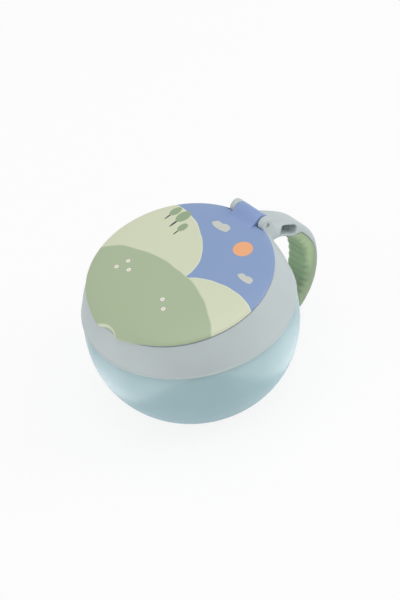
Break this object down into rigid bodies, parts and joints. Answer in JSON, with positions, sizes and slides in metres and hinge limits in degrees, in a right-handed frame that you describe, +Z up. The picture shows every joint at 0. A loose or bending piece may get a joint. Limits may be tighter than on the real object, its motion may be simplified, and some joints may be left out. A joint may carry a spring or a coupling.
{
  "type": "toddler snack container",
  "caption": "Round snack cup with a screw-on collar, side handle with a ribbed soft grip, hinged domed lid and a soft flap guard in its mouth.",
  "frame": {"origin": "centre of the bowl's flat base, on the bowl's axis", "axes": "+Z up along the bowl's axis, +Y towards the hinge and the handle, +X along the hinge pin"},
  "size_m": [0.1, 0.1235, 0.0771],
  "materials": {
    "bowl_plastic": "glossy translucent moulded polypropylene, pale aqua",
    "collar_plastic": "satin moulded polypropylene, pale blue grey",
    "grip_rubber": "soft-touch moulded elastomer, sage green, with ribs",
    "pin_plastic": "plain moulded pin",
    "lid_plastic": "satin moulded polypropylene, periwinkle blue",
    "lid_print": null,
    "guard_rubber": "soft moulded elastomer, milky white"
  },
  "bodies": {
    "bowl": {"bowl": "bowl_plastic"},
    "guard": {"flap_ring": "guard_rubber"},
    "collar": {"collar": "collar_plastic", "handle": "collar_plastic", "handle_grip": "grip_rubber", "hinge_pin": "pin_plastic"},
    "lid": {"lid": "lid_plastic", "lid_film": "lid_print"},
    "flap_1": {"flap_1": "guard_rubber"},
    "flap_2": {"flap_2": "guard_rubber"},
    "flap_3": {"flap_3": "guard_rubber"},
    "flap_4": {"flap_4": "guard_rubber"},
    "flap_5": {"flap_5": "guard_rubber"},
    "flap_6": {"flap_6": "guard_rubber"},
    "flap_7": {"flap_7": "guard_rubber"},
    "flap_8": {"flap_8": "guard_rubber"}
  },
  "joints": [
    {"name": "collar_lift", "type": "slide", "parent": "bowl", "child": "guard", "axis": [0, 0, 1], "range_m": [0, 0.004]},
    {"name": "collar_turn", "type": "hinge", "parent": "guard", "child": "collar", "pos_m": [0, 0, 0.055], "axis": [0, 0, 1], "range_deg": [0, 180]},
    {"name": "lid_hinge", "type": "hinge", "parent": "collar", "child": "lid", "pos_m": [0, 0.04256, 0.07354], "axis": [-1, 0, 0], "range_deg": [0, 120]},
    {"name": "flap_1_fold", "type": "hinge", "parent": "guard", "child": "flap_1", "pos_m": [0, 0.0284, 0.0592], "axis": [1, 0, 0], "range_deg": [0, 75], "stiffness_Nm_per_rad": 0.01},
    {"name": "flap_2_fold", "type": "hinge", "parent": "guard", "child": "flap_2", "pos_m": [0.02008, 0.02008, 0.0592], "axis": [0.7071, -0.7071, 0], "range_deg": [0, 75], "stiffness_Nm_per_rad": 0.01},
    {"name": "flap_3_fold", "type": "hinge", "parent": "guard", "child": "flap_3", "pos_m": [0.0284, 0, 0.0592], "axis": [0, -1, 0], "range_deg": [0, 75], "stiffness_Nm_per_rad": 0.01},
    {"name": "flap_4_fold", "type": "hinge", "parent": "guard", "child": "flap_4", "pos_m": [0.02008, -0.02008, 0.0592], "axis": [-0.7071, -0.7071, 0], "range_deg": [0, 75], "stiffness_Nm_per_rad": 0.01},
    {"name": "flap_5_fold", "type": "hinge", "parent": "guard", "child": "flap_5", "pos_m": [0, -0.0284, 0.0592], "axis": [-1, 0, 0], "range_deg": [0, 75], "stiffness_Nm_per_rad": 0.01},
    {"name": "flap_6_fold", "type": "hinge", "parent": "guard", "child": "flap_6", "pos_m": [-0.02008, -0.02008, 0.0592], "axis": [-0.7071, 0.7071, 0], "range_deg": [0, 75], "stiffness_Nm_per_rad": 0.01},
    {"name": "flap_7_fold", "type": "hinge", "parent": "guard", "child": "flap_7", "pos_m": [-0.0284, 0, 0.0592], "axis": [0, 1, 0], "range_deg": [0, 75], "stiffness_Nm_per_rad": 0.01},
    {"name": "flap_8_fold", "type": "hinge", "parent": "guard", "child": "flap_8", "pos_m": [-0.02008, 0.02008, 0.0592], "axis": [0.7071, 0.7071, 0], "range_deg": [0, 75], "stiffness_Nm_per_rad": 0.01}
  ],
  "couplings": [
    {"joint": "collar_lift", "follows": "collar_turn", "m_per_rad": 0.0012732}
  ]
}
